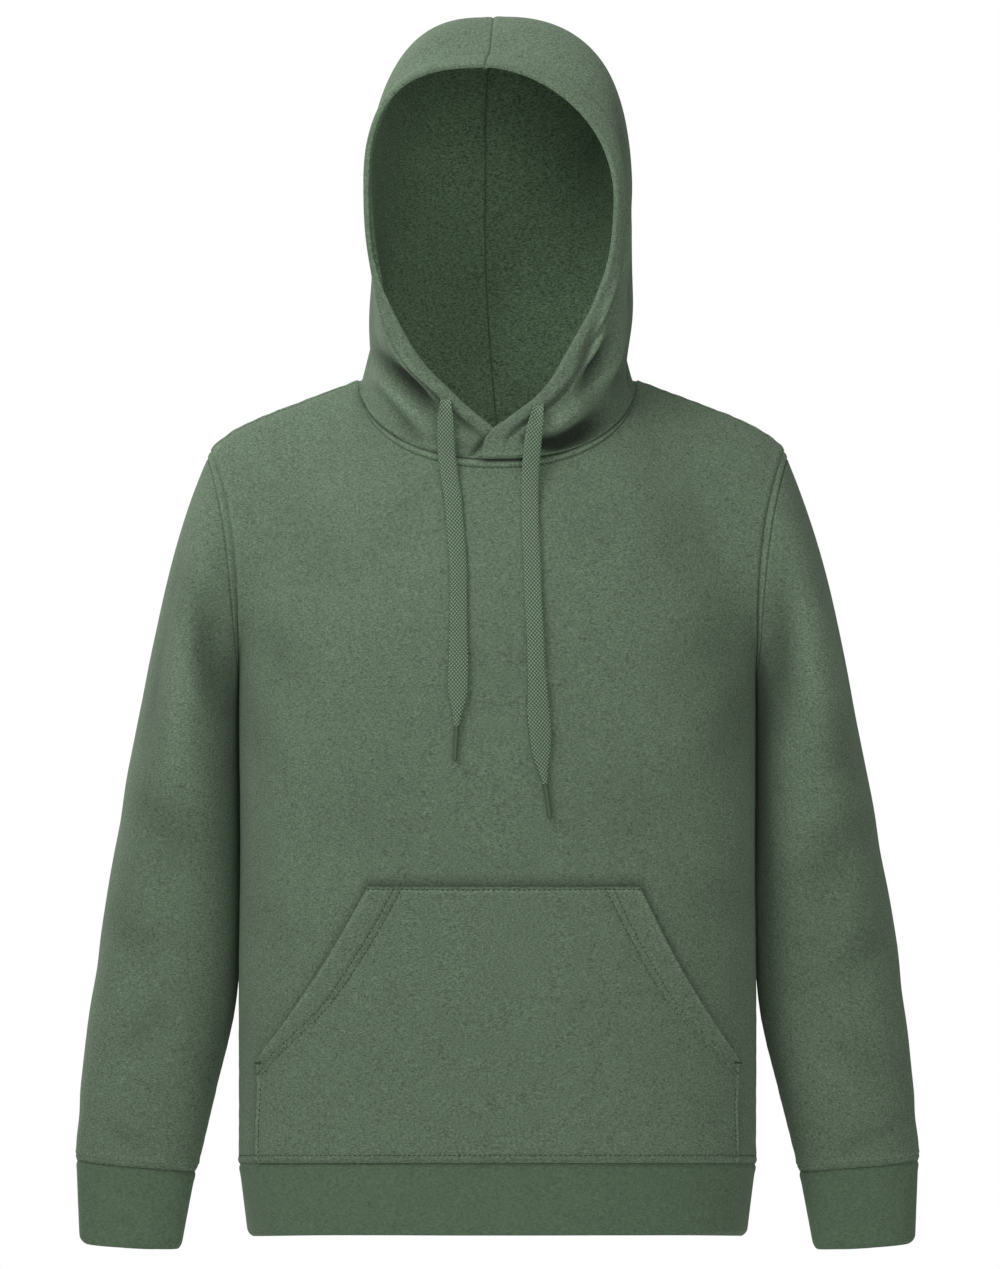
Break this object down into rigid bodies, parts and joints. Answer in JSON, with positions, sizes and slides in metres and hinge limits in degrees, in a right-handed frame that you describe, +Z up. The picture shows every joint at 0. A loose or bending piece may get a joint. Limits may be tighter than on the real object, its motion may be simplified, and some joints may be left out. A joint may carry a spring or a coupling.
{
  "type": "pullover hoodie",
  "caption": "Plain green pullover hoodie, filled out with no wearer, with a kangaroo pocket, ribbed hem and cuffs and a flat drawcord.",
  "frame": {"origin": "on the centre line at the height of the neck points, where the wearer's shoulders carry it", "axes": "+Z up, -Y to the front of the garment, +X to the wearer's left"},
  "size_m": [0.683, 0.2557, 0.9988],
  "materials": {
    "fleece": "brushed-back fleece, matte, with a fine mottled knit",
    "rib": "fine dense rib, matte",
    "braid": "flat braided cord",
    "tip": "satin"
  },
  "bodies": {
    "root": {"front": "fleece", "back": "fleece", "sleeve_left": "fleece", "sleeve_right": "fleece", "hood_left": "fleece", "hood_right": "fleece", "pocket": "fleece", "cuff_left": "rib", "cuff_right": "rib", "waistband": "rib", "drawcord_left": "braid", "drawcord_right": "braid", "aglet_left": "tip", "aglet_right": "tip"}
  },
  "joints": []
}
